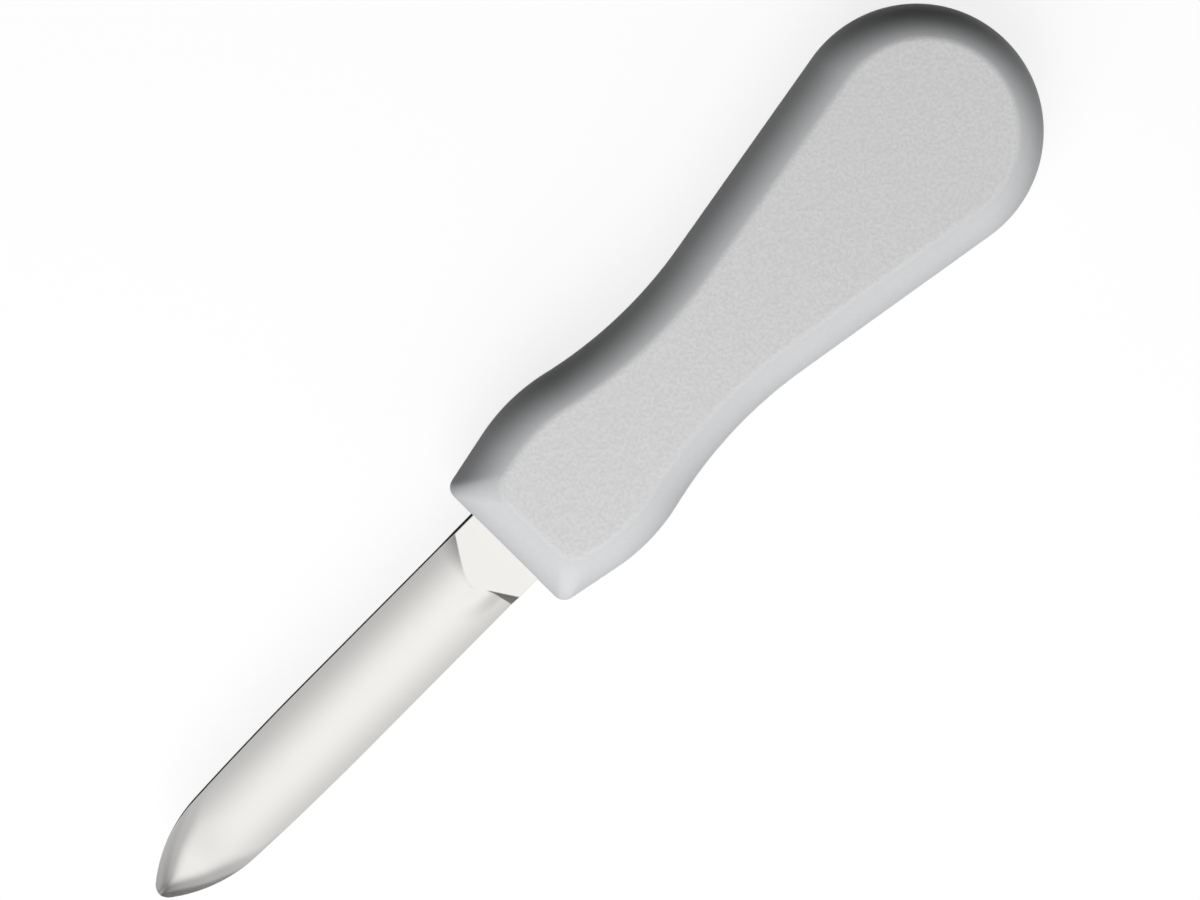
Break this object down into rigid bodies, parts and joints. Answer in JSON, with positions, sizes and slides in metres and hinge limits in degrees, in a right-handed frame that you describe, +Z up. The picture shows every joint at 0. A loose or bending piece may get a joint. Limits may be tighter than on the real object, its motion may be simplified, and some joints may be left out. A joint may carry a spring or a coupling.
{
  "type": "oyster knife",
  "caption": "Oyster knife with a crowned, round-pointed steel blade and a waisted white plastic handle moulded round its tang.",
  "frame": {"origin": "on the surface the knife lies on, under the middle of its bounding box, midway along its length and on its centre line", "axes": "+X along the knife towards the blade's tip, +Z up out of the upper grip panel, +Y across the handle"},
  "size_m": [0.1714, 0.0364, 0.018],
  "materials": {
    "steel": "satin ground",
    "plastic": "fine pebble on the grip panels, smooth satin round them"
  },
  "bodies": {
    "root": {"blade": "steel", "handle": "plastic"}
  },
  "joints": []
}
